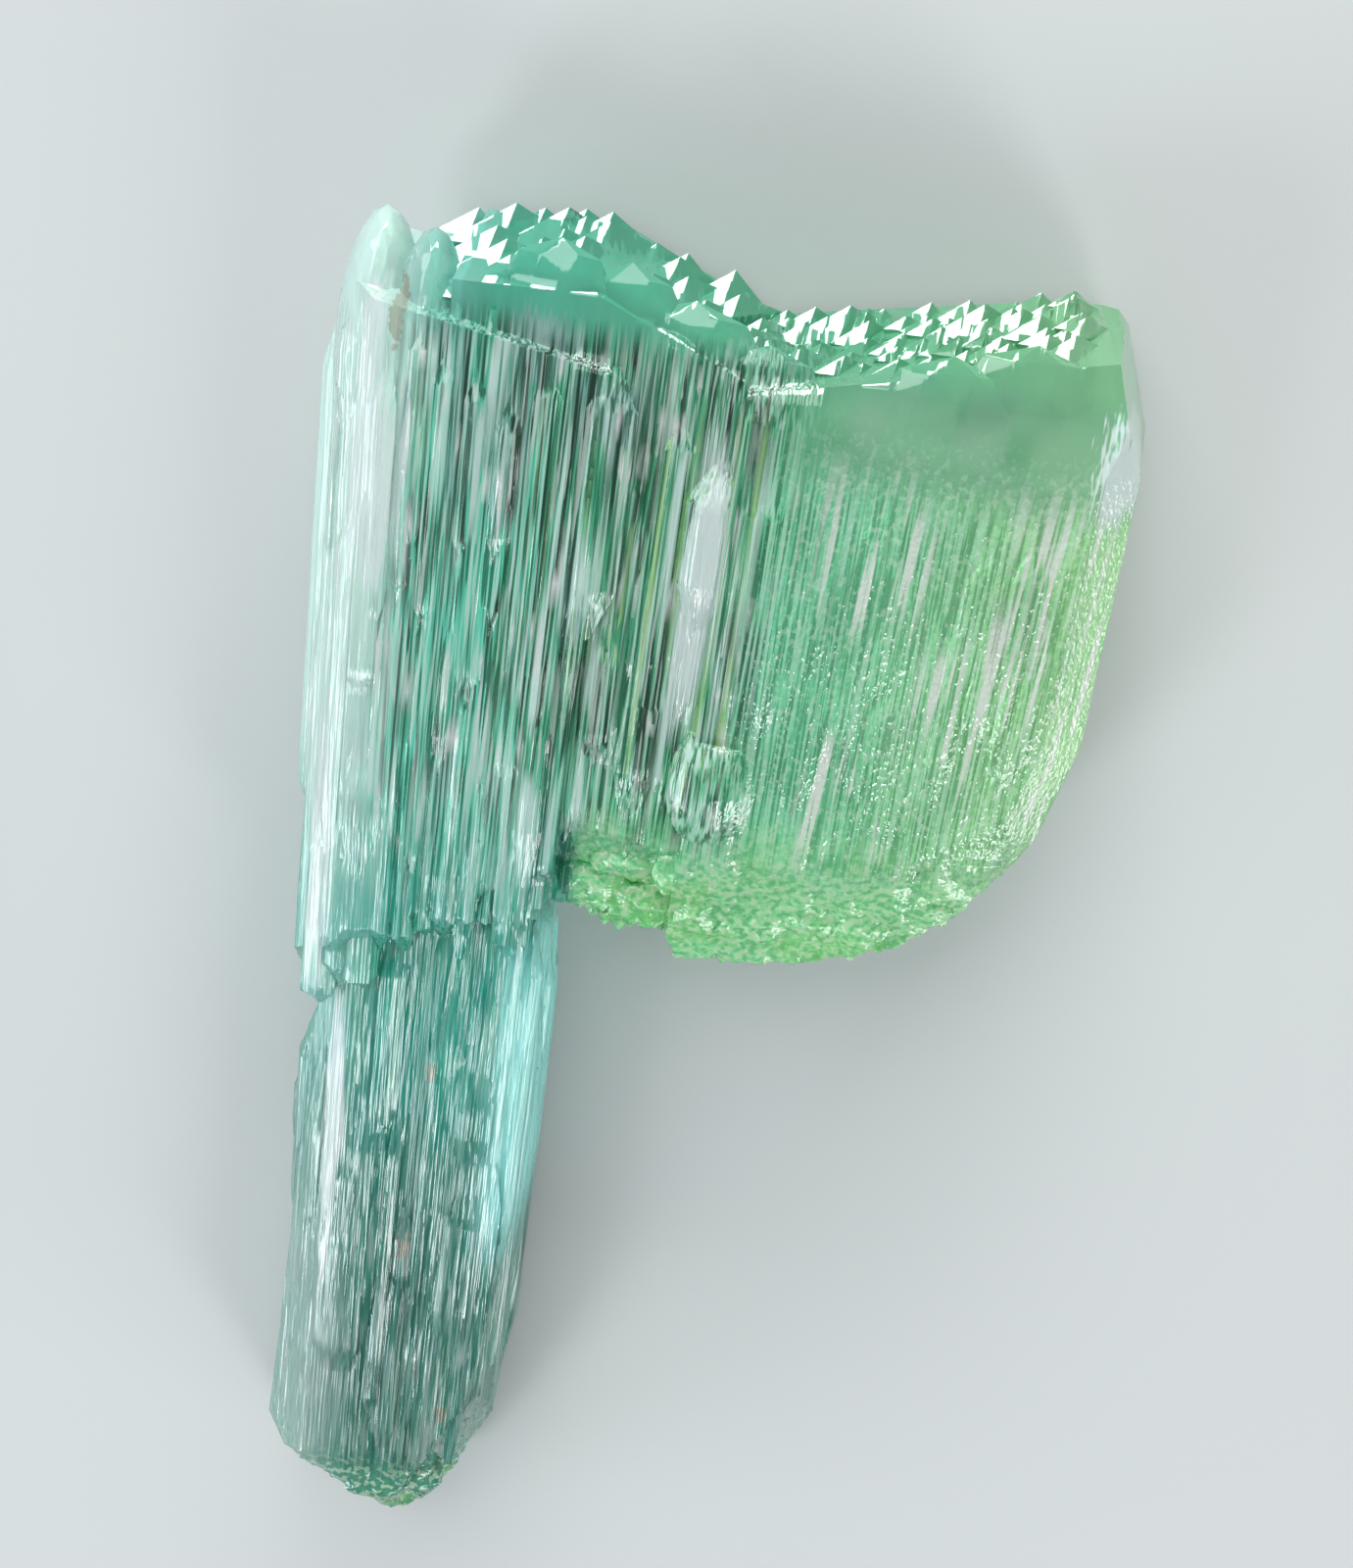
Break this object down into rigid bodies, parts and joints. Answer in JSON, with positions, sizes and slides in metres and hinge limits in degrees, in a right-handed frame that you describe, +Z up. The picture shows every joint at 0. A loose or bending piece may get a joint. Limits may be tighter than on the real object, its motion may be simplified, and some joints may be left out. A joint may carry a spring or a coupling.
{
  "type": "kunzite crystal",
  "caption": "Green spodumene crystal lying on its back: a long striated bar with a broken foot and a broad hatchet-like blade grown from its upper half, ending in small peaks.",
  "frame": {"origin": "under the middle of the crystal's box, on the level that its back rests on", "axes": "+Y along the crystal's long axis towards the peaked end, +X towards the blade, +Z up out of the front face"},
  "size_m": [0.042, 0.0866, 0.0126],
  "materials": {
    "crystal": "glassy and finely striated along the long axis, silky on the left bevel, etched and frosted at the foot"
  },
  "bodies": {
    "root": {"kunzite_crystal": "crystal"}
  },
  "joints": []
}
